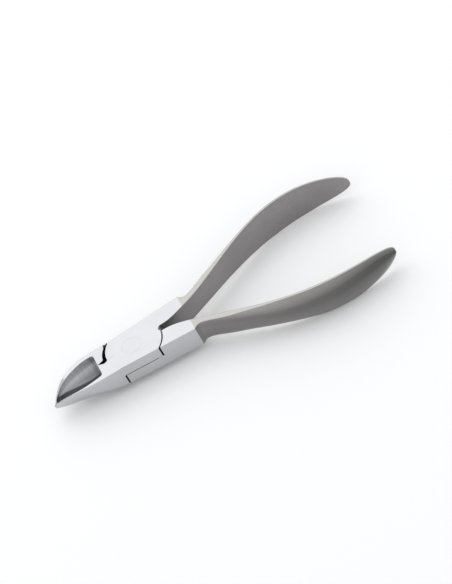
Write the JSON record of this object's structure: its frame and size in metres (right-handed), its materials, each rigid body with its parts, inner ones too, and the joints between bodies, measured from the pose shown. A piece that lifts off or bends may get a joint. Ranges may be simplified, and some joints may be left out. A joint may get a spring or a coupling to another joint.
{
  "type": "nail nipper",
  "caption": "Plier-type nail nipper: two crossed steel halves on a flush riveted lap joint, with pointed hollow-ground jaws and curved satin handles.",
  "frame": {"origin": "on the joint axis, in the plane of the joint block's back face", "axes": "+X along the closed nipper towards the handles' ends, +Y towards the front half's handle, +Z out of the front face along the joint axis"},
  "size_m": [0.1292, 0.056, 0.0137],
  "materials": {
    "steel_front_half": "mirror-polished joint and jaws, satin handle",
    "steel_rear_half": "mirror-polished joint and jaws, satin handle",
    "steel_rivet": "polished flush with the joint"
  },
  "bodies": {
    "front_half": {"front_half": "steel_front_half", "pivot_rivet": "steel_rivet"},
    "rear_half": {"rear_half": "steel_rear_half"}
  },
  "joints": [
    {"name": "nipper_joint", "type": "hinge", "parent": "front_half", "child": "rear_half", "pos_m": [0, 0, 0.00425], "axis": [0, 0, -1], "range_deg": [0, 40]}
  ]
}
